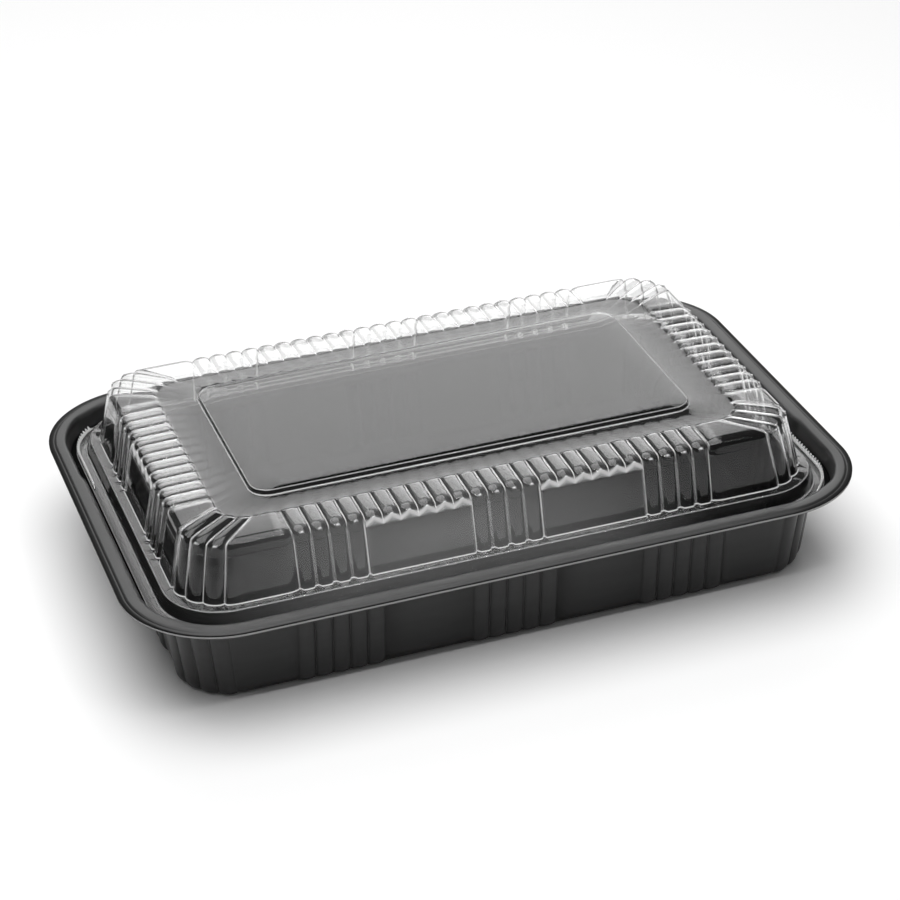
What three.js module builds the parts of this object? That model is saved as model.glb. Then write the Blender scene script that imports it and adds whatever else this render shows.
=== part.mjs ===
import * as THREE from 'three';

// Takeaway meal container: a black tray with a clear ribbed lid shut on it, empty.
// Millimetres. X runs along the long sides, Y across them, Z up. Origin: middle of the flat base.
// Each piece is one formed sheet. A sheet is a family of rings, from its trim edge in to its middle.

// Tray, measured on the face that looks up and in
const TRAY_SHEET = 0.6;
const RIM_LENGTH = 220;
const RIM_WIDTH = 147.3;
const RIM_CORNER = 30;
const RIM_TOP = 30.5;
const BORDER_WIDTH = 2.2;
const BORDER_FALL = 0.4;
const FLANGE_WIDTH = 6.3;
const DROP_LEAN = 1.4;
const SEAT_TOP = 25.05;
const SEAT_INNER_HALF = [97.7, 61.4];
const SEAT_INNER_CORNER = 18;
const WALL_TOP_HALF = [97.2, 60.9];
const WALL_TOP_CORNER = 17.5;
const WALL_TOP_HEIGHT = 24.3;
const FLUTE_TOP_HALF = [97, 60.7];
const FLUTE_TOP_CORNER = 17.4;
const FLUTE_TOP_HEIGHT = 22.5;
const WALL_FOOT_HALF = [94.6, 58.3];
const WALL_FOOT_CORNER = 16.5;
const WALL_FOOT_HEIGHT = 2.4;
const HEEL_HALF = [93.8, 57.5];
const HEEL_CORNER = 15.7;
const HEEL_HEIGHT = 1;
const HEEL_RISE = 0.85;
const FLOOR_HALF = [92, 55.7];
const FLOOR_CORNER = 13.8;

// Lid, measured on the face that looks up and out
const LID_SHEET = 0.45;
const LID_EDGE_HALF = [101.8, 65.4];
const LID_EDGE_CORNER = 21.9;
const LID_STRIP_TOP = 25.8;
const LID_STEP_HALF = [98.7, 62.3];
const LID_STEP_CORNER = 18.8;
const LEDGE_HALF = [97.3, 60.9];
const LEDGE_CORNER = 17.4;
const LEDGE_TOP = 29.9;
const LID_FOOT_HALF = [93, 56.6];
const LID_FOOT_CORNER = 15;
const NOTCH_HALF = [90.6, 54.2];
const NOTCH_CORNER = 13.9;
const NOTCH_HEIGHT = 44.6;
const KNEE_HALF = [89.7, 53.3];
const KNEE_CORNER = 13.5;
const KNEE_HEIGHT = 45.85;
const BAND_HALF = [88.1, 51.7];
const BAND_CORNER = 12.7;
const BAND_HEIGHT = 46.3;
const BAND_FAN = 0.12;
const TOP_HALF = [77.7, 41.9];
const TOP_CORNER = 8;
const TOP_HEIGHT = 46.6;
const CAP_REACH = 1.2;
const CAP_CORNER = 8.6;
const CAP_DROP = 0.04;
const CAP_RISE = 0.85;
const CAP_FAN = 0.92;
const PANEL_HALF = [66.4, 32.6];
const PANEL_SLOPE = 1.5;
const PANEL_CORNER = 5.5;
const PANEL_HEIGHT = 48.1;

// Flutes
const LONG_PITCH = 5.16;
const LONG_FLUTES = 24;
const SHORT_PITCH = 5.07;
const SHORT_FLUTES = 11;
const LID_FLUTE_DEPTH = 1.1;
const WALL_PANEL_PROUD = 0.95;
const PANEL_SHOULDER = 3.2;
const TRAY_FLUTE_DEPTH = 1;
const TRAY_PITCH = 5.1;
const LONG_GROUPS = { flutes: 5, centres: [-51.5, 0, 51.5] };
const SHORT_GROUPS = { flutes: 4, centres: [-20.2, 20.2] };
const STEPS_PER_FLUTE = 3;
const FLUTE_ROUNDNESS = 0.7;

// Corner flutes, as angles round the corner from its short-side end: on the wall, and at the top
const LID_CORNER = { flutes: 3, first: 5, last: 72.5, topFirst: 2, topLast: 88 };
const TRAY_CORNER = { flutes: 4, first: 4, last: 77, topFirst: 4, topLast: 77 };
const CORNER_SHOULDER = 5;
const PLAIN_CORNER_STEPS = 8;

// Finger tabs at two opposite corners, and the room the tray leaves for them
const TAB_REACH = 0.5;
const TAB_ROOM = 0.5;
const TAB_START = 22;
const TAB_FULL = 26;
const TAB_MID = 34;
const TAB_END_ANGLE = 50;

// Where the straight part of a side ends, for pairing up rings of unequal counts
const SIDE_REACH = [77, 42];

const RIGHT_ANGLE = 90;
const radians = (degrees) => (degrees * Math.PI) / 180;
const mix = (a, b, t) => a + (b - a) * t;

// Height of a flute at a fraction of its width, 0 at both valleys and 1 at the crest.
function fluteRise(fraction) {
  return Math.sin(Math.PI * fraction) ** FLUTE_ROUNDNESS;
}

// Places along one straight side: each has its distance from the side's middle, how far it stands
// proud on the band (rise) and on the wall below it (wallRise), as shares of the flute depth.
function lidSide(pitch, count, runsDownWall) {
  const panel = WALL_PANEL_PROUD / LID_FLUTE_DEPTH;
  const edge = (pitch * count) / 2;
  const places = [];
  places.push({ at: -edge - PANEL_SHOULDER, rise: panel, wallRise: panel });
  for (let k = 0; k <= count; k += 1) {
    const valleyWall = runsDownWall(k - 1) || runsDownWall(k) ? 0 : panel;
    places.push({ at: -edge + k * pitch, rise: 0, wallRise: valleyWall });
    for (let s = 1; k < count && s < STEPS_PER_FLUTE; s += 1) {
      const fraction = s / STEPS_PER_FLUTE;
      const rise = fluteRise(fraction);
      const wallRise = runsDownWall(k) ? rise : panel;
      places.push({ at: -edge + (k + fraction) * pitch, rise, wallRise });
    }
  }
  places.push({ at: edge + PANEL_SHOULDER, rise: panel, wallRise: panel });
  return places;
}

// Places round one corner: an angle on the wall, an angle at the top's edge, and the rise.
function flutedCorner(flutes, panel) {
  const places = [{ angle: 0, topAngle: 0, rise: panel, wallRise: panel }];
  const steps = flutes.flutes * STEPS_PER_FLUTE;
  for (let s = 0; s <= steps; s += 1) {
    const part = s % STEPS_PER_FLUTE;
    const rise = part === 0 ? 0 : fluteRise(part / STEPS_PER_FLUTE);
    const angle = mix(flutes.first, flutes.last, s / steps);
    const topAngle = mix(flutes.topFirst, flutes.topLast, s / steps);
    places.push({ angle, topAngle, rise, wallRise: rise });
  }
  const shoulder = { rise: panel, wallRise: panel };
  const lastTop = (flutes.topLast + RIGHT_ANGLE) / 2;
  places.push({ angle: flutes.last + CORNER_SHOULDER, topAngle: lastTop, ...shoulder });
  places.push({ angle: RIGHT_ANGLE, topAngle: RIGHT_ANGLE, ...shoulder });
  return places;
}

function plainCorner() {
  const places = [];
  for (let s = 0; s <= PLAIN_CORNER_STEPS; s += 1) {
    const angle = (s * RIGHT_ANGLE) / PLAIN_CORNER_STEPS;
    places.push({ angle, topAngle: angle, rise: 0, wallRise: 0 });
  }
  return places;
}

// Groups of flutes on one wall of the tray, flat between them.
function traySide(groups) {
  const places = [];
  for (const centre of groups.centres) {
    const start = centre - (groups.flutes * TRAY_PITCH) / 2;
    const steps = groups.flutes * STEPS_PER_FLUTE;
    for (let s = 0; s <= steps; s += 1) {
      const part = s % STEPS_PER_FLUTE;
      const rise = part === 0 ? 0 : fluteRise(part / STEPS_PER_FLUTE);
      places.push({ at: start + (s * TRAY_PITCH) / STEPS_PER_FLUTE, rise, wallRise: rise });
    }
  }
  return places;
}

// Places on the straight sides of a plain ring, the same to the left and right of the middle.
function plainSide(distances) {
  const both = [...distances.map((at) => -at).reverse(), ...distances];
  return both.map((at) => ({ at, rise: 0, wallRise: 0 }));
}

// One full turn, seen from above anticlockwise: front, right, back and left, a corner after each.
function fullTurn(longSide, shortSide, corner) {
  const turn = [];
  for (let side = 0; side < 4; side += 1) {
    const straight = side % 2 === 0 ? longSide : shortSide;
    const facesFront = side % 2 === 0;
    const bend = facesFront ? [...corner].reverse() : corner;
    for (const place of straight) {
      turn.push({ side, ...place, straight: true });
    }
    for (const place of bend) {
      turn.push({ side, ...place, straight: false });
    }
  }
  return turn;
}

// Share of the finger tab at a place: whole past TAB_FULL and round the corner to TAB_END_ANGLE.
function tabShare(place) {
  const onFirstHalf = place.side === 0 || place.side === 2;
  if (place.straight) {
    return !onFirstHalf && place.at <= -TAB_FULL ? 1 : 0;
  }
  return onFirstHalf && place.angle < TAB_END_ANGLE ? 1 : 0;
}

// A place's point, outward direction and order round the ring, for one ring's half sizes and corner.
function ringPoint(place, half, corner, fan) {
  const turnOfSide = radians(RIGHT_ANGLE * place.side);
  const along = place.side % 2 === 0 ? half[0] : half[1];
  const out = place.side % 2 === 0 ? half[1] : half[0];
  const reach = SIDE_REACH[place.side % 2];
  let local;
  let normal;
  let order;
  if (place.straight) {
    local = [place.at, -out];
    normal = [0, -1];
    order = place.side * 2 + (place.at + reach) / (2 * reach);
  } else {
    const fromShort = mix(place.angle, place.topAngle, fan);
    const swept = place.side % 2 === 0 ? RIGHT_ANGLE - fromShort : fromShort;
    const angle = radians(swept - RIGHT_ANGLE);
    normal = [Math.cos(angle), Math.sin(angle)];
    local = [along - corner + corner * normal[0], -out + corner + corner * normal[1]];
    order = place.side * 2 + 1 + swept / RIGHT_ANGLE;
  }
  const c = Math.cos(turnOfSide);
  const s = Math.sin(turnOfSide);
  const spin = ([x, y]) => [c * x - s * y, s * x + c * y];
  return { point: spin(local), normal: spin(normal), order };
}

// Profile normals of the sheet's upper face at each ring, mitred so the sheet keeps its thickness.
function profileNormals(rings, axis) {
  const slopes = rings.slice(1).map((ring, i) => {
    const inward = ring.half[axis] - rings[i].half[axis];
    const up = ring.z - rings[i].z;
    const length = Math.hypot(inward, up);
    return [up / length, -inward / length];
  });
  return rings.map((ring, i) => {
    const before = slopes[Math.max(i - 1, 0)];
    const after = i < slopes.length ? slopes[i] : [0, 1];
    const sum = [before[0] + after[0], before[1] + after[1]];
    const length = Math.hypot(sum[0], sum[1]);
    const unit = [sum[0] / length, sum[1] / length];
    const mitre = 1 / (unit[0] * after[0] + unit[1] * after[1]);
    return { unit, mitred: [unit[0] * mitre, unit[1] * mitre] };
  });
}

// Joins two rings of any counts into a band of triangles, walking both in order.
function joinRings(outer, inner, flip, triangles) {
  let i = 0;
  let j = 0;
  const next = (ring, k) => ring[(k + 1) % ring.length];
  const orderAfter = (ring, k) => (k + 1 < ring.length ? ring[k + 1].order : ring[0].order + 8);
  const add = (a, b, c) => triangles.push(flip ? [a, c, b] : [a, b, c]);
  while (i < outer.length || j < inner.length) {
    const stepOuter = i < outer.length ? orderAfter(outer, i) : Infinity;
    const stepInner = j < inner.length ? orderAfter(inner, j) : Infinity;
    const a = outer[i % outer.length];
    const b = inner[j % inner.length];
    if (stepOuter <= stepInner) {
      add(a.index, next(outer, i).index, b.index);
      i += 1;
    } else {
      add(a.index, next(inner, j).index, b.index);
      j += 1;
    }
  }
}

// Builds one closed sheet from its rings.
function formSheet(name, rings, thickness, flatTurn, flutedTurn, fluteDepth, lean, material) {
  const points = [];
  const triangles = [];
  const normals = [profileNormals(rings, 0), profileNormals(rings, 1)];
  const faces = [0, thickness].map((depth) =>
    rings.map((ring, r) => {
      const [alongX, alongY] = normals.map((list) => list[r]);
      const fall = (depth * (alongX.mitred[1] + alongY.mitred[1])) / 2;
      const half = [
        ring.half[0] - depth * alongX.mitred[0],
        ring.half[1] - depth * alongY.mitred[0],
      ];
      const corner = ring.corner - (depth * (alongX.mitred[0] + alongY.mitred[0])) / 2;
      const places = ring.fluted ? flutedTurn : ring.turn || flatTurn;
      return places.map((place) => {
        const at = ringPoint(place, half, corner, ring.fan || 0);
        const unit = at.normal[0] ** 2 > at.normal[1] ** 2 ? alongX.unit : alongY.unit;
        const share = ring.onWall ? place.wallRise : place.rise;
        const proud = fluteDepth * share * (ring.rise || 0);
        const leans = lean && !ring.level;
        const push = proud * (leans ? unit[0] : 1) + tabShare(place) * (ring.tab || 0);
        const lift = leans ? proud * unit[1] : 0;
        points.push([
          at.point[0] + at.normal[0] * push,
          at.point[1] + at.normal[1] * push,
          ring.z - fall + lift,
        ]);
        return { index: points.length - 1, order: at.order };
      });
    }),
  );
  faces.forEach((face, f) => {
    for (let r = 1; r < face.length; r += 1) {
      joinRings(face[r - 1], face[r], f === 1, triangles);
    }
    const last = face[face.length - 1];
    points.push([0, 0, points[last[0].index][2]]);
    const middle = points.length - 1;
    last.forEach((corner, k) => {
      const after = last[(k + 1) % last.length];
      triangles.push(f === 1 ? [corner.index, middle, after.index] : [corner.index, after.index, middle]);
    });
  });
  joinRings(faces[0][0], faces[1][0], true, triangles);
  const geometry = new THREE.BufferGeometry();
  geometry.setAttribute('position', new THREE.Float32BufferAttribute(points.flat(), 3));
  geometry.setIndex(triangles.flat());
  geometry.computeVertexNormals();
  const mesh = new THREE.Mesh(geometry, material);
  mesh.name = name;
  return mesh;
}

const inset = (half, by) => [half[0] - by, half[1] - by];
const panelRise = WALL_PANEL_PROUD / LID_FLUTE_DEPTH;

// Lid flutes: on the long sides 4 run down the wall, 6 stop at it, 4 run down, 6 stop, 4 run down.
const longRunsDown = (k) => k >= 0 && k < LONG_FLUTES && k % 10 < 4;
// On the short sides 3 run down the wall, 5 stop at it, 3 run down.
const shortRunsDown = (k) => k >= 0 && k < SHORT_FLUTES && k % 8 < 3;

const groupEdge = 2 * LONG_PITCH;
const flatTurn = fullTurn(
  plainSide([groupEdge, 4 * groupEdge, 6 * groupEdge]),
  plainSide([TAB_START, TAB_FULL, TAB_MID]),
  plainCorner(),
);
const panelTurn = fullTurn(
  plainSide([groupEdge, 4 * groupEdge, PANEL_HALF[0] - PANEL_CORNER - PANEL_SLOPE]),
  plainSide([SHORT_PITCH, 4 * SHORT_PITCH]),
  plainCorner(),
);
const lidTurn = fullTurn(
  lidSide(LONG_PITCH, LONG_FLUTES, longRunsDown),
  lidSide(SHORT_PITCH, SHORT_FLUTES, shortRunsDown),
  flutedCorner(LID_CORNER, panelRise),
);
const trayTurn = fullTurn(
  traySide(LONG_GROUPS),
  traySide(SHORT_GROUPS),
  flutedCorner(TRAY_CORNER, 0),
);

const rimHalf = [RIM_LENGTH / 2, RIM_WIDTH / 2];
const dropHalf = inset(rimHalf, FLANGE_WIDTH);
const seatHalf = inset(dropHalf, DROP_LEAN);

const wall = { fluted: true, onWall: true };
const trayRings = [
  { half: rimHalf, corner: RIM_CORNER, z: RIM_TOP - BORDER_FALL },
  { half: inset(rimHalf, BORDER_WIDTH), corner: RIM_CORNER - BORDER_WIDTH, z: RIM_TOP },
  { half: dropHalf, corner: RIM_CORNER - FLANGE_WIDTH, z: RIM_TOP, tab: TAB_ROOM },
  { half: seatHalf, corner: RIM_CORNER - FLANGE_WIDTH - DROP_LEAN, z: SEAT_TOP, tab: TAB_ROOM },
  { half: SEAT_INNER_HALF, corner: SEAT_INNER_CORNER, z: SEAT_TOP },
  { ...wall, half: WALL_TOP_HALF, corner: WALL_TOP_CORNER, z: WALL_TOP_HEIGHT },
  { ...wall, half: FLUTE_TOP_HALF, corner: FLUTE_TOP_CORNER, z: FLUTE_TOP_HEIGHT, rise: 1 },
  { ...wall, half: WALL_FOOT_HALF, corner: WALL_FOOT_CORNER, z: WALL_FOOT_HEIGHT, rise: 1 },
  { ...wall, half: HEEL_HALF, corner: HEEL_CORNER, z: HEEL_HEIGHT, rise: HEEL_RISE },
  { ...wall, half: FLOOR_HALF, corner: FLOOR_CORNER, z: TRAY_SHEET },
];

const capHalf = inset(TOP_HALF, -CAP_REACH);
const capZ = TOP_HEIGHT - CAP_DROP;
const footHalf = inset(PANEL_HALF, -PANEL_SLOPE);
const ribs = { fluted: true };
const lidRings = [
  { half: LID_EDGE_HALF, corner: LID_EDGE_CORNER, z: LID_STRIP_TOP, tab: TAB_REACH },
  { half: LID_STEP_HALF, corner: LID_STEP_CORNER, z: LID_STRIP_TOP },
  { half: LEDGE_HALF, corner: LEDGE_CORNER, z: LEDGE_TOP },
  { ...wall, half: LID_FOOT_HALF, corner: LID_FOOT_CORNER, z: LEDGE_TOP, rise: 1, level: true },
  { ...wall, half: NOTCH_HALF, corner: NOTCH_CORNER, z: NOTCH_HEIGHT, rise: 1 },
  { ...ribs, half: KNEE_HALF, corner: KNEE_CORNER, z: KNEE_HEIGHT, rise: 1 },
  { ...ribs, half: BAND_HALF, corner: BAND_CORNER, z: BAND_HEIGHT, rise: 1, fan: BAND_FAN },
  { ...ribs, half: capHalf, corner: CAP_CORNER, z: capZ, rise: CAP_RISE, fan: CAP_FAN },
  { ...ribs, half: TOP_HALF, corner: TOP_CORNER, z: TOP_HEIGHT, fan: 1 },
  { half: footHalf, corner: PANEL_CORNER + PANEL_SLOPE, z: TOP_HEIGHT, turn: panelTurn },
  { half: PANEL_HALF, corner: PANEL_CORNER, z: PANEL_HEIGHT, turn: panelTurn },
];

const black = new THREE.MeshStandardMaterial({ color: 0x1b1b1c, roughness: 0.35 });
const clear = new THREE.MeshStandardMaterial({
  color: 0xe4e8ea,
  roughness: 0.1,
  transparent: true,
  opacity: 0.35,
});

const group = new THREE.Group();
group.name = 'takeaway_container';
group.add(formSheet('tray', trayRings, TRAY_SHEET, flatTurn, trayTurn, TRAY_FLUTE_DEPTH, false, black));
group.add(formSheet('lid', lidRings, LID_SHEET, flatTurn, lidTurn, LID_FLUTE_DEPTH, true, clear));

export default group;
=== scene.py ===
import bpy
import numpy as np
from mathutils import Matrix


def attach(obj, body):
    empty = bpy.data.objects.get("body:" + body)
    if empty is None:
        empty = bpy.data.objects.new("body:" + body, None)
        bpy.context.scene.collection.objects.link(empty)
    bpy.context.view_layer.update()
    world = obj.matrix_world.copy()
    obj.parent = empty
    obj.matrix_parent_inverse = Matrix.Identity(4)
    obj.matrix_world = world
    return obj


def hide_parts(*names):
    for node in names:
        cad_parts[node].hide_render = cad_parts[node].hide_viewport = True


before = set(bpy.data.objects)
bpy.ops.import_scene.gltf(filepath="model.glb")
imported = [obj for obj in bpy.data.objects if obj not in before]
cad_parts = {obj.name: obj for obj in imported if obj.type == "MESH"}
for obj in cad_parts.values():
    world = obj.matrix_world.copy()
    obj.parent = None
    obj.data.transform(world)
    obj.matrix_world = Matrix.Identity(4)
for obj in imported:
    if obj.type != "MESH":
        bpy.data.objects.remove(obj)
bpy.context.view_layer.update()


# Tray. A black plastic sheet, warmed and drawn into a mould as one open box, then trimmed round its rim.
# A flat flange runs round it, with a drop to the seat for the lid. Groups of flutes stiffen the walls.

TRAY_SHEET = 0.6
TRAY_DEPTH_OF_FLUTE = 1.0
TRAY_PITCH = 5.1
LONG_GROUP_MIDDLES = (-51.5, 0.0, 51.5)
LONG_GROUP_FLUTES = 5
SHORT_GROUP_MIDDLES = (-20.2, 20.2)
SHORT_GROUP_FLUTES = 4
SAMPLES_PER_FLUTE = 10
ONWARD_STEPS = 5
LAST_ONWARD = 0.98
LEAST_END_GAP = 1.0
LEAST_STEP = 0.02

# Underside of the sheet, from the trimmed edge to the floor: half length, corner radius, height, share of the
# flutes, of the finger notches and of the snaps, and the reach of its bend. The half width is less by
# SIDE_DIFFERENCE.
SIDE_DIFFERENCE = 36.35
TRAY_UNDERSIDE = np.array([
    [109.75, 29.75, 29.45, 0.00, 0.0, 0.0, 0.0],
    [107.85, 27.85, 29.52, 0.00, 0.0, 0.0, 0.3],
    [107.45, 27.45, 29.90, 0.00, 0.0, 0.0, 0.3],
    [104.20, 24.20, 29.90, 0.00, 1.0, 0.3, 0.8],
    [103.75, 23.75, 27.80, 0.00, 1.0, 1.0, 0.6],
    [103.40, 23.40, 26.30, 0.00, 1.0, 0.1, 0.3],
    [103.00, 23.00, 24.45, 0.00, 1.0, 0.0, 0.6],
    [97.95, 18.40, 24.45, 0.00, 0.0, 0.0, 0.5],
    [97.75, 18.10, 23.60, 0.00, 0.0, 0.0, 0.4],
    [97.60, 18.00, 22.60, 1.00, 0.0, 0.0, 0.6],
    [95.20, 17.00, 2.30, 1.00, 0.0, 0.0, 1.2],
    [94.30, 16.20, 0.55, 0.95, 0.0, 0.0, 0.8],
    [92.30, 14.20, 0.00, 0.00, 0.0, 0.0, 0.9],
    [80.00, 6.00, 0.00, 0.00, 0.0, 0.0, 0.0],
])
NOTCH_REACH = 0.8
NOTCH_START, NOTCH_FULL = 22, 27
NOTCH_TURN_FULL, NOTCH_TURN_END = 40, 56
SNAP_REACH = 1.3
SNAP_WIDTH = 9
# Height below which the tray's inside is painted as shade, a darker matt black, and the height over which
# that fades in.
PAINTED_SHADE_BELOW = 25.6
PAINTED_SHADE_FADE = 0.6
FLANGE_FOOT = 29


def smooth_step(t):
    """0 up to t = 0, then t t (3 - 2 t) up to 1 at t = 1."""
    t = np.clip(t, 0, 1)
    return t * t * (3 - 2 * t)


def flute_row(start, pitch, count):
    """Places along a row of flutes, closer together near the valleys: a flute's share is half of
    1 - cos(pi s), with s in even steps. The height is the square root of sin(pi share), so it is 0 in both
    valleys, which are sharp and steep, and 1 on the broad crest. Returns distance, height and number."""
    step = np.arange(count * SAMPLES_PER_FLUTE + 1)
    number = np.minimum(step // SAMPLES_PER_FLUTE, count - 1)
    share = 0.5 - 0.5 * np.cos(np.pi * (step / SAMPLES_PER_FLUTE - number))
    height = np.sqrt(np.sin(np.pi * np.clip(share, 0, 1)))
    return start + pitch * (number + share), height, number


def shoulder_heights(top, steps):
    """Heights up the rounded shoulder beside a row of flutes: the top times sin(pi t / 2) to the power 0.8,
    with t in even steps up to 1."""
    t = np.linspace(0, 1, steps + 1)[1:]
    return top * np.sin(np.pi / 2 * t) ** 0.8


def bent_profile(table, height_column, steps=5):
    """Rounds the inner corners of a table of profile places. A corner becomes a quadratic curve that leaves
    the line before it and meets the line after it at the reach in the last column, at most 0.45 of a line."""
    across = [0, height_column]
    rows = [table[:1]]
    for before, here, after in zip(table[:-2], table[1:-1], table[2:]):
        reach = here[-1]
        gap_in = np.hypot(*(before - here)[across])
        gap_out = np.hypot(*(after - here)[across])
        first = here + (before - here) * min(reach / gap_in, 0.45)
        last = here + (after - here) * min(reach / gap_out, 0.45)
        t = np.linspace(0, 1, steps)[:, None]
        rows.append(first * (1 - t) ** 2 + here * 2 * t * (1 - t) + last * t ** 2)
    rows.append(table[-1:])
    return np.vstack(rows)


def corner_places(count, first, last, top_first, top_last, shoulder, panel):
    """Places round a corner with a fan of flutes: an angle on the wall and one at the top, in degrees from
    the short side, and the height, which outside the fan is that of the panels beside it."""
    at, height, _ = flute_row(0, 1, count)
    share = at / count
    lead = np.array([0, 1, 2]) / 3
    wall = np.concatenate([first * lead, first + (last - first) * share,
                           last + shoulder * (lead + 1 / 3),
                           np.linspace(last + shoulder, 90, 5)[1:]])
    top = np.concatenate([top_first * lead, top_first + (top_last - top_first) * share,
                          np.linspace(top_last, 90, 8)[1:]])
    height = np.concatenate([np.full(3, panel), height, shoulder_heights(panel, 3), np.full(4, panel)])
    return wall, top, height


def full_turn(long_side, short_side, corner):
    """Places round the whole box, anticlockwise from the front left: four sides with a corner after each.
    A straight place has a distance and a share of the way on to where its ring's corner starts."""
    wall, top, height = corner
    parts = []
    for side in range(4):
        at, onward, band, down = (long_side, short_side)[side % 2]
        flat = np.zeros_like(at)
        parts.append(np.stack([flat + side, flat + 1, at, onward, flat, flat, band, down]))
        turn = slice(None, None, -1) if side % 2 == 0 else slice(None)
        swept = (90 - wall, 90 - top) if side % 2 == 0 else (wall, top)
        none = np.zeros_like(wall)
        parts.append(np.stack([none + side, none, none, none, swept[0][turn], swept[1][turn],
                               height[turn], height[turn]]))
    whole = np.concatenate(parts, axis=1)
    return dict(zip(("side", "straight", "at", "onward", "wall", "top", "band", "down"), whole))


def ring_points(turn, half_x, half_y, corner, fan):
    """Points of many rounded rectangles at once, and the direction straight out at each. A straight place is
    (distance, -half width), and in a ring too short for its flutes the distances are squeezed. A corner place
    is the corner's centre plus its radius along the swept angle. Both are then turned a quarter a side."""
    even = turn["side"] % 2 == 0
    along = np.where(even, half_x[:, None], half_y[:, None])
    out = np.where(even, half_y[:, None], half_x[:, None])
    radius = corner[:, None]
    end = along - radius
    edge = np.where(even, np.abs(turn["at"][even]).max(), np.abs(turn["at"][~even]).max())
    squeeze = np.minimum(1, (end - LEAST_END_GAP) / edge)
    reach = turn["at"] * squeeze + turn["onward"] * (end - edge * squeeze)
    swept = np.radians(turn["wall"] + (turn["top"] - turn["wall"]) * fan[:, None] - 90)
    straight = turn["straight"] > 0
    nx = np.where(straight, 0, np.cos(swept))
    ny = np.where(straight, -1, np.sin(swept))
    x = np.where(straight, reach, end + radius * nx)
    y = np.where(straight, -out, radius - out + radius * ny)
    quarter = np.radians(90 * turn["side"])
    c, s = np.cos(quarter), np.sin(quarter)
    return c * x - s * y, s * x + c * y, c * nx - s * ny, s * nx + c * ny


def round_ring(field):
    """The difference between the places on both sides of each place, round its ring."""
    return np.roll(field, -1, axis=1) - np.roll(field, 1, axis=1)


def surface_normals(grid):
    """Unit normals of a closed ring grid: the cross product of the differences round it and along it."""
    normal = np.cross(round_ring(grid), np.gradient(grid, axis=0))
    return normal / np.maximum(np.linalg.norm(normal, axis=2, keepdims=True), 1e-12)


def painted_fold_highlight_share(grid, least, span):
    """How much painted highlight a sharply bent place gets: 0 up to the least sharpness, and 1 at the span
    above it. Sharpness is the change of the normal between the places on both sides, divided by the distance
    between them, taken round the rings and along the profile, and the greater of the two."""
    normal = surface_normals(grid)
    both_ways = ((round_ring(normal), round_ring(grid)),
                 (np.gradient(normal, axis=0), np.gradient(grid, axis=0)))
    sharpness = [np.linalg.norm(change, axis=2) / np.maximum(np.linalg.norm(step, axis=2), LEAST_STEP)
                 for change, step in both_ways]
    return np.clip((np.maximum(*sharpness) - least) / span, 0, 1)


def close_sheet(face, thickness, steps=5):
    """Rows of points for a closed sheet. The other face lies the thickness off along the normals, and the
    trimmed edge between them is half an ellipse."""
    other = face - surface_normals(face) * thickness
    outward = face[0] - face[1]
    outward /= np.linalg.norm(outward, axis=1, keepdims=True)
    t = np.linspace(0, np.pi, steps + 2)[1:-1, None, None]
    edge = face[0] + (other[0] - face[0]) * (1 - np.cos(t)) / 2 + outward * thickness / 3 * np.sin(t)
    return np.concatenate([face[::-1], edge, other])


def both_faces(field, rows, at_edge):
    """One face's numbers laid on both faces of a closed sheet, with one number on its trimmed edge."""
    edge = np.full((len(rows) - 2 * len(field), field.shape[1]), at_edge)
    return np.concatenate([field[::-1], edge, field])


def signed_volume(points, triangles):
    """Six times the volume inside closed triangles: the sum of a . (b x c) over them."""
    a, b, c = (points[triangles[:, k]] for k in range(3))
    return np.einsum("ij,ij->", a, np.cross(b, c))


def lay_sheet(name, rows, marks):
    """Makes the mesh of a closed sheet from its rows in millimetres: quads between neighbouring rows, and a
    fan to the middle point of the first and the last row, all turned outward. Each of marks has one number
    for each point."""
    count, around = rows.shape[:2]
    number = np.arange(count * around).reshape(count, around)
    quads = np.stack([number[:-1], np.roll(number, -1, 1)[:-1],
                      np.roll(number, -1, 1)[1:], number[1:]], axis=-1).reshape(-1, 4)
    middles = np.stack([rows[0].mean(axis=0), rows[-1].mean(axis=0)])
    points = np.concatenate([rows.reshape(-1, 3), middles]) / 1000
    first, last = count * around, count * around + 1
    fans = np.concatenate([
        np.stack([np.roll(number[0], -1), number[0], np.full(around, first)], axis=-1),
        np.stack([number[-1], np.roll(number[-1], -1), np.full(around, last)], axis=-1),
    ])
    if signed_volume(points, np.concatenate([fans, quads[:, [0, 1, 2]], quads[:, [0, 2, 3]]])) < 0:
        quads, fans = quads[:, ::-1], fans[:, ::-1]
    mesh = bpy.data.meshes.new(name)
    mesh.vertices.add(len(points))
    mesh.vertices.foreach_set("co", points.ravel())
    corners = np.concatenate([quads.ravel(), fans.ravel()])
    mesh.loops.add(len(corners))
    mesh.loops.foreach_set("vertex_index", corners)
    mesh.polygons.add(len(quads) + len(fans))
    starts = np.concatenate([np.arange(len(quads)) * 4, len(quads) * 4 + np.arange(len(fans)) * 3])
    mesh.polygons.foreach_set("loop_start", starts)
    mesh.update(calc_edges=True)
    mesh.polygons.foreach_set("use_smooth", np.ones(len(mesh.polygons), dtype=bool))
    for title, values in marks.items():
        mark = mesh.attributes.new(title, "FLOAT", "POINT")
        mark.data.foreach_set("value", np.concatenate([values.ravel(), [0, 0]]))
    mesh.update()
    piece = bpy.data.objects.new(name, mesh)
    bpy.context.scene.collection.objects.link(piece)
    return piece


def side_of_rows(rows, onward_steps=ONWARD_STEPS):
    """One straight side: its rows of flutes in order, and at each end a few places on towards the corner, the
    last just short of it."""
    at, band, down = [np.pad(np.concatenate(part), onward_steps, mode="edge") for part in zip(*rows)]
    ease = np.linspace(0, 1, onward_steps + 1)[1:] * LAST_ONWARD
    onward = np.zeros_like(at)
    onward[:onward_steps] = -ease[::-1]
    onward[-onward_steps:] = ease
    return at, onward, band, down


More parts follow.
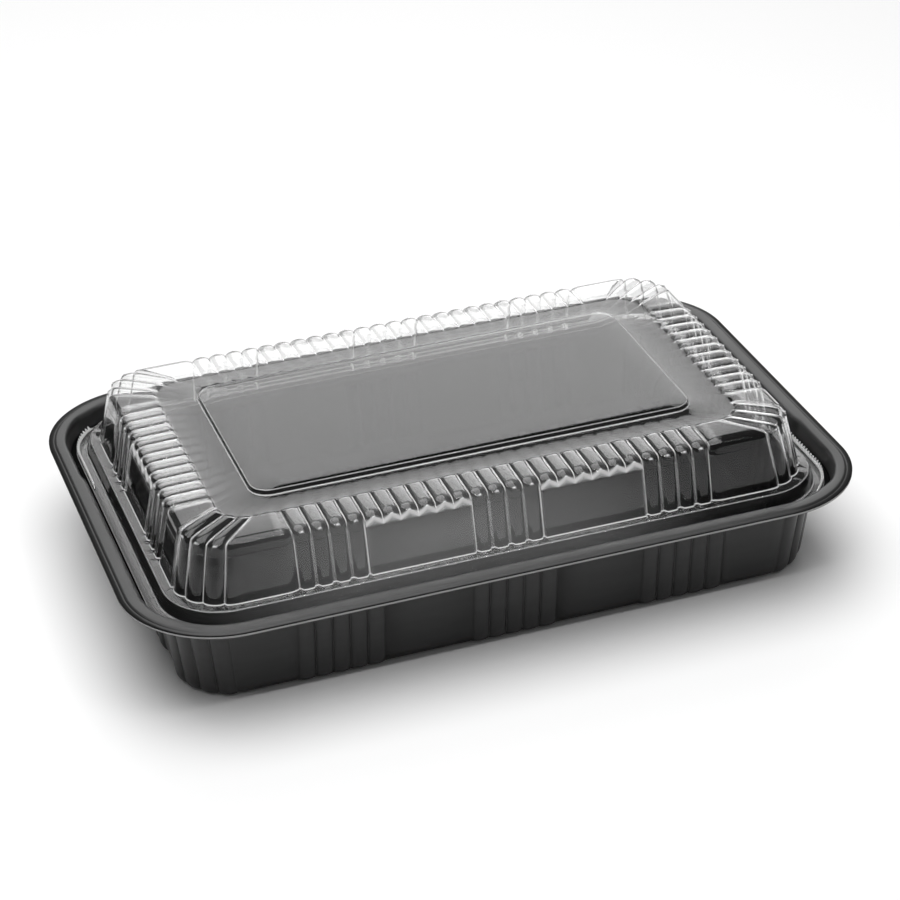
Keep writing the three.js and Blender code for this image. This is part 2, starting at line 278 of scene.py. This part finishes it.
def tray_side(middles, count):
    """A tray wall: groups of flutes round the given middles, flat between them."""
    rows = []
    for middle in middles:
        at, height, _ = flute_row(middle - count * TRAY_PITCH / 2, TRAY_PITCH, count)
        rows.append((at, height, height))
    return side_of_rows(rows)


def finger_places(turn):
    """1 at the front right and back left corners, where a finger lifts the lid, falling smoothly to 0 along
    the short side towards its middle, in millimetres, and round the corner, in degrees."""
    even = turn["side"] % 2 == 0
    on_side = smooth_step((-turn["at"] - NOTCH_START) / (NOTCH_FULL - NOTCH_START)) * ~even
    from_end = NOTCH_TURN_END - (90 - turn["wall"])
    round_corner = smooth_step(from_end / (NOTCH_TURN_END - NOTCH_TURN_FULL)) * even
    return np.where(turn["straight"] > 0, on_side, round_corner)


def snap_places(turn):
    """1 in the middle of the front left and back right corners, where the rim snaps over the lid: a bell
    curve of the angle, SNAP_WIDTH degrees wide."""
    odd = turn["side"] % 2 == 1
    return np.where((turn["straight"] > 0) | ~odd, 0, np.exp(-((turn["wall"] - 45) / SNAP_WIDTH) ** 2))


tray_turn = full_turn(
    tray_side(LONG_GROUP_MIDDLES, LONG_GROUP_FLUTES),
    tray_side(SHORT_GROUP_MIDDLES, SHORT_GROUP_FLUTES),
    corner_places(count=4, first=4, last=77, top_first=4, top_last=77, shoulder=4, panel=0))
half, corner, height, share, notch, snap, _ = bent_profile(TRAY_UNDERSIDE, 2).T
x, y, out_x, out_y = ring_points(tray_turn, half, half - SIDE_DIFFERENCE, corner, np.zeros_like(half))
push = share[:, None] * tray_turn["down"] * TRAY_DEPTH_OF_FLUTE
push += notch[:, None] * finger_places(tray_turn) * NOTCH_REACH
push -= snap[:, None] * snap_places(tray_turn) * SNAP_REACH
tray_face = np.stack([x + out_x * push, y + out_y * push, np.broadcast_to(height[:, None], x.shape)], axis=-1)
tray_rows = close_sheet(tray_face, -TRAY_SHEET)
edge_rows = len(tray_rows) - 2 * len(height)
# The inside below the seat gets painted shade, the cut lip a painted highlight, and sharp bends below the
# flange's foot a fainter painted highlight.
inside = np.concatenate([np.zeros(len(height) + edge_rows), np.clip((PAINTED_SHADE_BELOW - height) / PAINTED_SHADE_FADE, 0, 1)])
painted_lip_highlight = np.concatenate([np.zeros(len(height)), np.ones(edge_rows), np.zeros(len(height))])
painted_fold_highlight = painted_fold_highlight_share(tray_face, least=0.6, span=2.4) * (height < FLANGE_FOOT)[:, None]
tray = lay_sheet("tray_sheet", tray_rows, {
    "inside": np.broadcast_to(inside[:, None], tray_rows.shape[:2]),
    "painted_lip_highlight": np.broadcast_to(painted_lip_highlight[:, None], tray_rows.shape[:2]),
    "painted_fold_highlight": both_faces(painted_fold_highlight, tray_rows, 0)})


class Wire:
    """A socket of a finish. Sums and products of it add Math nodes."""

    def __init__(self, finish, socket):
        self.finish, self.socket = finish, socket

    def __add__(self, other):
        return self.finish.node("ShaderNodeMath", {"operation": "ADD"}, {0: self, 1: other})

    def __mul__(self, other):
        return self.finish.node("ShaderNodeMath", {"operation": "MULTIPLY"}, {0: self, 1: other})

    __radd__ = __add__
    __rmul__ = __mul__


class Finish:
    """A material and its nodes. A node is made from its kind, its settings and its sockets' values or wires,
    by name or number, and comes back as the wire of one of its outputs."""

    def __init__(self, name):
        self.material = bpy.data.materials.new(name)
        self.material.use_nodes = True
        self.tree = self.material.node_tree
        self.tree.nodes.clear()

    def node(self, kind, settings, sockets, output=0):
        made = self.tree.nodes.new(kind)
        for name, value in settings.items():
            setattr(made, name, value)
        for name, value in sockets.items():
            if isinstance(value, Wire):
                self.tree.links.new(value.socket, made.inputs[name])
            else:
                made.inputs[name].default_value = value
        return Wire(self, made.outputs[output]) if made.outputs else None

    def show(self, surface):
        self.node("ShaderNodeOutputMaterial", {}, {"Surface": surface})
        return self.material


# Numbers of a colour Mix node's sockets: its factor, its two colours and its result.
SHARE, COLOUR_A, COLOUR_B, MIXED = 0, 6, 7, 2


def black_sheet_finish():
    """Black plastic off the mould: nearly black, half glossy, with a faint cloud in its gloss, fine drawn
    streaks and a skin like very fine leather. The inside has no gloss and a darker black: painted shade
    under the lid, set by how dark it looks through the lid. It is a little paler where it bends sharply, a
    painted highlight, and paler still along its cut lip, a brighter painted highlight."""
    finish = Finish("black_sheet")
    place = finish.node("ShaderNodeTexCoord", {}, {}, "Object")
    long_way = finish.node("ShaderNodeMapping", {}, {"Vector": place, "Scale": (0.12, 1, 1)})
    cloud = finish.node("ShaderNodeTexNoise", {}, {"Vector": place, "Scale": 45, "Detail": 3})
    grain = finish.node("ShaderNodeTexNoise", {}, {"Vector": place, "Scale": 1500, "Detail": 2})
    streak = finish.node("ShaderNodeTexNoise", {}, {"Vector": long_way, "Scale": 420, "Detail": 4})
    black = finish.node("ShaderNodeMix", {"data_type": "RGBA"}, {
        SHARE: streak, COLOUR_A: (0.009, 0.009, 0.009, 1), COLOUR_B: (0.020, 0.020, 0.020, 1)}, MIXED)
    painted_lip_highlight = finish.node("ShaderNodeAttribute", {"attribute_name": "painted_lip_highlight"}, {}, "Fac")
    inside = finish.node("ShaderNodeAttribute", {"attribute_name": "inside"}, {}, "Fac")
    painted_fold_highlight = finish.node("ShaderNodeAttribute", {"attribute_name": "painted_fold_highlight"}, {}, "Fac")
    # Mix towards grey: a painted highlight along the cut lip, and a fainter painted highlight on sharp bends.
    colour = finish.node("ShaderNodeMix", {"data_type": "RGBA"}, {
        SHARE: painted_lip_highlight * 0.8 + painted_fold_highlight * 0.12, COLOUR_A: black, COLOUR_B: (0.5, 0.5, 0.5, 1)}, MIXED)
    rough = 0.23 + 0.12 * cloud + 0.08 * streak
    skin = finish.node("ShaderNodeBump", {}, {"Strength": 0.35, "Distance": 0.00002,
                                              "Height": grain * 0.7 + streak * 0.6})
    glossy = finish.node("ShaderNodeBsdfPrincipled", {}, {
        "Base Color": colour, "Roughness": rough, "Normal": skin, "IOR": 1.47})
    # Painted shade: the inside under the lid is a darker black with no gloss.
    painted_shade = finish.node("ShaderNodeBsdfPrincipled", {}, {
        "Base Color": (0.004, 0.004, 0.004, 1), "Roughness": 0.8, "Specular IOR Level": 0.0})
    return finish.show(finish.node("ShaderNodeMixShader", {}, {0: inside, 1: glossy, 2: painted_shade}))


tray.data.materials.append(black_sheet_finish())
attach(tray, "root")
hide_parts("tray")


# Lid. A thin clear sheet drawn over a mould: a strip that lies on the tray's seat, a step up to a ledge,
# a wall, a band of flutes round the shoulder and a flat top with a raised panel. It is pressed into the rim.

LID_SHEET = 0.3
LID_DEPTH_OF_FLUTE = 1.1
LONG_PITCH = 5.16
SHORT_PITCH = 5.07
LONG_FLUTES = 24
SHORT_FLUTES = 11
PANEL_SHARE = 0.86
SHOULDER = 3.2
SHOULDER_STEPS = 5
GROOVE_FLOOR = 0.4
GROOVE_SIDE = 0.8
WALL_DRAFT = 0.16
ZIGZAG_HIGHLIGHT = 0.85

# Upper face, from the trimmed edge to the raised panel: half length, half width, corner radius, flute share,
# share of it that the wall carries, share of the corner's fan, share of the push that follows the slope,
# how far the place climbs with a flute, height, clouding (speckle, with a painted sheen), and the reach of
# its bend.
LID_UPPER = np.array([
    [101.70, 65.35, 21.80, 0.00, 1, 0.0, 0, 0.0, 25.80, 0.0, 0.0],
    [98.75, 62.35, 18.85, 0.00, 1, 0.0, 0, 0.0, 25.80, 0.0, 0.4],
    [97.30, 60.90, 17.40, 0.00, 1, 0.0, 0, 0.0, 29.88, 0.0, 0.4],
    [93.70, 57.30, 15.30, 1.00, 1, 0.0, 0, 0.0, 29.88, 0.0, 0.3],
    [93.40, 57.00, 15.10, 1.00, 1, 0.0, 0, 0.0, 31.60, 0.0, 0.4],
    [90.80, 54.40, 14.05, 1.00, 1, 0.0, 0, 0.0, 43.20, 0.0, 0.1],
    [90.72, 54.32, 14.00, 1.03, 1, 0.0, 0, 0.0, 43.30, 0.0, 0.1],
    [90.45, 54.05, 13.80, 1.00, 1, 0.0, 0, 2.5, 44.10, 0.0, 0.22],
    [90.00, 53.60, 13.55, 1.00, 0, 0.0, 1, 0.0, 45.80, 0.0, 0.4],
    [88.40, 52.00, 12.90, 1.00, 0, 0.1, 1, 0.0, 46.28, 1.0, 0.9],
    [79.10, 43.30, 8.80, 1.00, 0, 0.9, 1, 0.0, 46.50, 1.0, 0.7],
    [77.70, 41.90, 8.00, 0.00, 0, 1.0, 1, 0.0, 46.55, 0.1, 0.4],
    [67.00, 33.20, 6.00, 0.00, 0, 1.0, 1, 0.0, 46.55, 0.0, 0.3],
    [66.60, 32.80, 5.60, 0.00, 0, 1.0, 1, 0.0, 48.05, 0.0, 0.3],
    [60.00, 27.00, 3.00, 0.00, 0, 1.0, 1, 0.0, 48.05, 0.0, 0.0],
])


def lid_side(pitch, count, group, period):
    """A lid side: one row of flutes on the band. In each period of flutes those of the first group run on
    down the wall, where the valleys are grooves: 0 to GROOVE_FLOOR off their middle, then a smooth step up
    over GROOVE_SIDE. Elsewhere the wall is a panel that stands as proud as PANEL_SHARE of a flute."""
    at, band, number = flute_row(-count * pitch / 2, pitch, count)
    valley = np.arange(len(at)) % SAMPLES_PER_FLUTE == 0
    runs_down = (number % period < group) | (valley & ((number - 1) % period < group))
    off_valley = pitch / 2 - np.abs(at + count * pitch / 2 - (number + 0.5) * pitch)
    down = np.where(runs_down, smooth_step((off_valley - GROOVE_FLOOR) / GROOVE_SIDE), PANEL_SHARE)
    off_row = SHOULDER * np.linspace(0, 1, SHOULDER_STEPS + 1)[1:]
    swell = shoulder_heights(PANEL_SHARE, SHOULDER_STEPS)
    at = np.concatenate([at[0] - off_row[::-1], at, at[-1] + off_row])
    band = np.concatenate([swell[::-1], band, swell])
    down = np.concatenate([swell[::-1], down, swell])
    return side_of_rows([(at, band, down)], ONWARD_STEPS + 1)


lid_turn = full_turn(
    lid_side(LONG_PITCH, LONG_FLUTES, group=4, period=10),
    lid_side(SHORT_PITCH, SHORT_FLUTES, group=3, period=8),
    corner_places(count=3, first=5, last=72.5, top_first=2, top_last=88, shoulder=5, panel=PANEL_SHARE))
stations = bent_profile(LID_UPPER, 8, steps=3)
half_x, half_y, corner, share, on_wall, fan, slope, follow, height, speckle_and_sheen = stations.T[:10]
x, y, out_x, out_y = ring_points(lid_turn, half_x, half_y, corner, fan)
fall, climb = np.gradient(half_x), np.gradient(height)
length = np.hypot(fall, climb)
lean_out, lean_up = climb / length, -fall / length
rise = lid_turn["band"] + (lid_turn["down"] - lid_turn["band"]) * on_wall[:, None]
push = rise * share[:, None] * LID_DEPTH_OF_FLUTE
triangle_wave = np.arcsin(lid_turn["band"] ** 2) / (np.pi / 2)
climb_up = triangle_wave * follow[:, None]
outward = push * (1 + (lean_out - 1) * slope)[:, None] - WALL_DRAFT * climb_up
lid_face = np.stack([x + out_x * outward, y + out_y * outward,
                     height[:, None] + climb_up + push * (lean_up * slope)[:, None]], axis=-1)
lid_rows = close_sheet(lid_face, LID_SHEET)

# The crease along the zigzag top edge of the panels gets the painted fold highlight by rule, whatever its
# sharpness comes to.
on_panel = lid_turn["straight"] * (lid_turn["down"] == PANEL_SHARE) * (lid_turn["band"] != PANEL_SHARE)
zigzag = (follow > 0.8 * follow.max())[:, None] * on_panel
painted_fold_highlight = np.maximum(painted_fold_highlight_share(lid_face, least=1.0, span=2.2), ZIGZAG_HIGHLIGHT * zigzag)

# The speckle is on the band's flutes and not in their valleys. Its strength on each side, front, right, back,
# left, is set by the paleness seen on that side: the left band is painted paler, a painted sheen where light
# falls.
painted_sheen_of_side = np.array([0.3, 0.4, 0.2, 1.0])[lid_turn["side"].astype(int)]
on_flutes = lid_turn["straight"] * (lid_turn["onward"] == 0) * np.clip(lid_turn["band"] * 4 - 2, 0, 1)
# The lid's trimmed edge carries the full painted fold highlight.
lid = lay_sheet("lid_sheet", lid_rows, {
    "speckle_and_sheen": both_faces(speckle_and_sheen[:, None] * on_flutes * painted_sheen_of_side, lid_rows, 0),
    "painted_fold_highlight": both_faces(painted_fold_highlight, lid_rows, 1)})


def clear_sheet_finish():
    """Clear plastic sheet: it bends light about as water does, less than real sheet, has a faint wave
    from drawing, is paler where it is folded, a painted highlight, and has a fine speckle on the band, paler
    most on the left side, a painted sheen. Lamps shine through it as through a flat pane, so its shadow is
    light."""
    finish = Finish("clear_sheet")
    place = finish.node("ShaderNodeTexCoord", {}, {}, "Object")
    speckle_and_sheen = finish.node("ShaderNodeAttribute", {"attribute_name": "speckle_and_sheen"}, {}, "Fac")
    painted_fold_highlight = finish.node("ShaderNodeAttribute", {"attribute_name": "painted_fold_highlight"}, {}, "Fac")
    long_way = finish.node("ShaderNodeMapping", {}, {"Vector": place, "Scale": (0.15, 1, 1)})
    wave = finish.node("ShaderNodeTexNoise", {}, {"Vector": long_way, "Scale": 160, "Detail": 0.5})
    speckle = finish.node("ShaderNodeTexNoise", {}, {"Vector": place, "Scale": 1700, "Detail": 2})
    skin = finish.node("ShaderNodeBump", {}, {"Strength": 0.5, "Distance": 0.00003,
                                              "Height": wave * 0.2 + speckle * speckle_and_sheen})
    rough = 0.015 + 0.02 * wave + 0.22 * speckle_and_sheen * speckle
    # Paleness: a painted highlight on folds, plus the speckle's paleness, which is stronger on the left side
    # as a painted sheen.
    painted_highlight_and_frost = 0.6 * painted_fold_highlight + speckle_and_sheen * (0.1 + 0.22 * speckle)
    sheet = finish.node("ShaderNodeBsdfPrincipled", {}, {
        "Base Color": (0.93, 0.93, 0.93, 1), "Roughness": rough, "Normal": skin,
        "IOR": 1.34, "Transmission Weight": 1.0})
    pale = finish.node("ShaderNodeBsdfPrincipled", {}, {"Base Color": (0.9, 0.9, 0.9, 1), "Roughness": 0.25})
    highlighted_sheet = finish.node("ShaderNodeMixShader", {}, {0: painted_highlight_and_frost, 1: sheet, 2: pale})
    through = finish.node("ShaderNodeBsdfTransparent", {}, {"Color": (0.93, 0.93, 0.93, 1)})
    shade = finish.node("ShaderNodeLightPath", {}, {}, "Is Shadow Ray")
    return finish.show(finish.node("ShaderNodeMixShader", {}, {0: shade, 1: highlighted_sheet, 2: through}))


clear_sheet = clear_sheet_finish()
lid.data.materials.append(clear_sheet)
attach(lid, "root")
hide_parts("lid")


# Finger tabs. Two small upright ribs on the lid's strip, at the front right and back left corners, pressed
# from the same clear sheet into a fine zigzag so that a finger can grip them.

TAB_TOOTH = 1.5
TAB_HEIGHT = 2.0
TAB_HALF_THICKNESS = 0.14
TAB_ZIGZAG = 0.5
TAB_DIP = 0.25
TAB_FOOT = 25.84
TAB_RADIUS = 21.3
TAB_CORNER = (79.9, -43.55)
TAB_START = 24
TAB_SWEEP = 50
SAMPLES_PER_TOOTH = 6


def finger_tab():
    """A rib along the short side and on round the corner. Its place along the path is s: straight up to the
    corner, then on an arc. Its section is a thin oval, shifted to and fro across the path by a triangle wave
    of s, more at the top than at the foot, and its top rises and falls with the same wave. Both fade out over
    2 mm at each end."""
    lead = TAB_START - abs(TAB_CORNER[1])
    total = -lead + TAB_RADIUS * np.radians(TAB_SWEEP)
    s = np.linspace(0, total, int(total / TAB_TOOTH) * SAMPLES_PER_TOOTH)
    angle = np.clip((s + lead) / TAB_RADIUS, 0, None)
    middle = np.stack([TAB_CORNER[0] + TAB_RADIUS * np.cos(angle),
                       TAB_CORNER[1] - TAB_RADIUS * np.sin(angle) - np.minimum(s + lead, 0)], axis=-1)
    across = np.stack([np.cos(angle), -np.sin(angle)], axis=-1)
    turn = np.linspace(0, 2 * np.pi, 12, endpoint=False)
    rise = (1 - np.cos(turn)) / 2
    wave = 4 * np.abs((s / TAB_TOOTH) % 1 - 0.5) - 1
    ends = np.clip(np.minimum(s, total - s) / 2, 0.15, 1)
    shift = TAB_HALF_THICKNESS * np.sin(turn) + TAB_ZIGZAG * (wave * ends)[:, None] * rise
    flat = middle[:, None] + across[:, None] * shift[..., None]
    level = TAB_FOOT + TAB_HEIGHT * rise * (ends * (1 - TAB_DIP + TAB_DIP * wave))[:, None]
    return np.concatenate([flat, level[..., None]], axis=-1)


for place, way in (("front", 1), ("back", -1)):
    tab_rows = finger_tab() * (way, way, 1)
    # The whole tab carries the full painted fold highlight.
    tab = lay_sheet(f"lid_tab_{place}", tab_rows, {"painted_fold_highlight": np.full(tab_rows.shape[:2], 1.0)})
    tab.data.materials.append(clear_sheet)
    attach(tab, "root")


# Floor, light and camera: a white floor in a dim room, with a bright screen behind, a wide soft lamp overhead
# and a narrow strip in front. A long lens looks down from the front left, placed as the photograph's was.

FLOOR_HALF_SIDE = 3.0
FLOOR_HEIGHT = -0.0002
ROOM_BRIGHTNESS = 0.18
CAMERA_LENS = 106.93
CAMERA_PLACE = (-0.215688, -0.656459, 0.428953)

# Columns: the camera's right, its top and its back. It is turned 18.4 degrees and looks 30.0 degrees down.
CAMERA_AXES = ((0.9427856, 0.1919399, -0.2726067),
               (-0.3319154, 0.4632815, -0.8217070),
               (-0.0314247, 0.8651759, 0.5004829))

floor_mesh = bpy.data.meshes.new("floor")
square = np.array([[-1, -1], [1, -1], [1, 1], [-1, 1]]) * FLOOR_HALF_SIDE
floor_mesh.from_pydata(np.column_stack([square, np.full(4, FLOOR_HEIGHT)]).tolist(), [], [[0, 1, 2, 3]])
floor = bpy.data.objects.new("floor", floor_mesh)
bpy.context.scene.collection.objects.link(floor)
floor_finish = Finish("white_floor")
floor.data.materials.append(floor_finish.show(floor_finish.node("ShaderNodeBsdfPrincipled", {}, {
    "Base Color": (0.92, 0.92, 0.92, 1), "Roughness": 0.9, "Specular IOR Level": 0.0})))

room = bpy.data.worlds.new("room")
room.use_nodes = True
room.node_tree.nodes["Background"].inputs["Color"].default_value = (1, 1, 1, 1)
room.node_tree.nodes["Background"].inputs["Strength"].default_value = ROOM_BRIGHTNESS
bpy.context.scene.world = room


def soft_lamp(name, place, aim, size, radiance):
    """A flat lamp turned to face a point. Its power is the radiance times pi times its area."""
    lamp = bpy.data.lights.new(name, "AREA")
    lamp.shape = "RECTANGLE"
    lamp.size, lamp.size_y = size
    lamp.energy = radiance * np.pi * size[0] * size[1]
    made = bpy.data.objects.new(name, lamp)
    back = np.array(place) - np.array(aim)
    back /= np.linalg.norm(back)
    side = np.cross([0.0, 1.0, 0.0], back)
    side /= np.linalg.norm(side)
    turn = np.column_stack([side, np.cross(back, side), back])
    made.matrix_world = Matrix.Translation(place) @ Matrix(turn.tolist()).to_4x4()
    bpy.context.scene.collection.objects.link(made)


soft_lamp("back_screen", (0.6, 1.9, 1.15), (0, 0, 0.1), (1.9, 1.15), 1.95)
soft_lamp("top_lamp", (-0.10, 0.05, 1.05), (-0.05, 0.0, 0.0), (1.1, 1.2), 2.8)
soft_lamp("front_lamp", (0.0, -0.60, 1.15), (0, 0, 0.0), (1.3, 0.03), 26.0)

view = bpy.data.cameras.new("camera")
view.sensor_width = 36
view.lens = CAMERA_LENS
view.clip_start, view.clip_end = 0.05, 20
camera = bpy.data.objects.new("camera", view)
camera.matrix_world = Matrix.Translation(CAMERA_PLACE) @ Matrix(CAMERA_AXES).to_4x4()
bpy.context.scene.collection.objects.link(camera)
bpy.context.scene.camera = camera
bpy.context.scene.view_settings.view_transform = "Standard"
